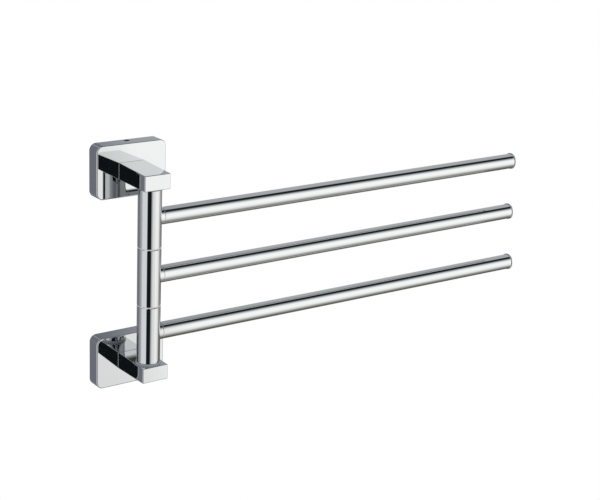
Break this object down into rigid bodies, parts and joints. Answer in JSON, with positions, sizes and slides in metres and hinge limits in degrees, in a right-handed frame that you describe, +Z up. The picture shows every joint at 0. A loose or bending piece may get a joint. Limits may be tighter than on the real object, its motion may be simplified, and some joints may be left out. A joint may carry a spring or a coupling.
{
  "type": "swing arm towel bar",
  "caption": "Wall towel rail: round bars swing one above another on a post held between two short arms with rectangular wall rosettes.",
  "frame": {"origin": "on the wall plane, midway between the two rosettes, which is the centre of the four wall screw holes", "axes": "+X along the wall towards the free ends of the bars at rest, +Y into the wall, +Z up"},
  "size_m": [0.365, 0.0465, 0.1774],
  "materials": {
    "polished_chrome": "mirror-polished chrome plate on brass and zinc",
    "foot_ring_plastic": "smooth grey acetal",
    "nylon": "natural nylon",
    "bracket_steel": "zinc-plated pressed steel",
    "screw_steel": "plain stainless steel",
    "spindle_steel": "ground stainless steel",
    "insert_brass": "turned brass"
  },
  "bodies": {
    "wall_frame": {"upper_rosette": "polished_chrome", "lower_rosette": "polished_chrome", "upper_bracket": "bracket_steel", "lower_bracket": "bracket_steel", "upper_grub_screw": "screw_steel", "lower_grub_screw": "screw_steel", "upper_arm": "polished_chrome", "lower_arm": "polished_chrome", "upper_arm_screw": "screw_steel", "lower_arm_screw": "screw_steel", "upper_arm_washer": "screw_steel", "lower_arm_washer": "screw_steel", "spindle": "spindle_steel", "spindle_screw": "screw_steel", "foot_ring": "foot_ring_plastic", "lower_spacer": "nylon", "upper_spacer": "nylon", "top_washer": "nylon"},
    "top_swing_bar": {"top_bar_sleeve": "polished_chrome", "top_bar_lower_bush": "nylon", "top_bar_upper_bush": "nylon", "top_bar_collar": "polished_chrome", "top_bar_stud": "screw_steel", "top_bar_insert": "insert_brass", "top_bar_tube": "polished_chrome", "top_bar_end_cap": "polished_chrome"},
    "middle_swing_bar": {"middle_bar_sleeve": "polished_chrome", "middle_bar_lower_bush": "nylon", "middle_bar_upper_bush": "nylon", "middle_bar_collar": "polished_chrome", "middle_bar_stud": "screw_steel", "middle_bar_insert": "insert_brass", "middle_bar_tube": "polished_chrome", "middle_bar_end_cap": "polished_chrome"},
    "bottom_swing_bar": {"bottom_bar_sleeve": "polished_chrome", "bottom_bar_lower_bush": "nylon", "bottom_bar_upper_bush": "nylon", "bottom_bar_collar": "polished_chrome", "bottom_bar_stud": "screw_steel", "bottom_bar_insert": "insert_brass", "bottom_bar_tube": "polished_chrome", "bottom_bar_end_cap": "polished_chrome"}
  },
  "joints": [
    {"name": "top_bar_swing", "type": "hinge", "parent": "wall_frame", "child": "top_swing_bar", "pos_m": [0, -0.036, 0.0422], "axis": [0, 0, -1], "range_deg": [-4.5, 185.5]},
    {"name": "middle_bar_swing", "type": "hinge", "parent": "wall_frame", "child": "middle_swing_bar", "pos_m": [0, -0.036, 0.0002], "axis": [0, 0, -1], "range_deg": [-4.85, 185.15]},
    {"name": "bottom_bar_swing", "type": "hinge", "parent": "wall_frame", "child": "bottom_swing_bar", "pos_m": [0, -0.036, -0.0418], "axis": [0, 0, -1], "range_deg": [-5.65, 184.35]}
  ]
}
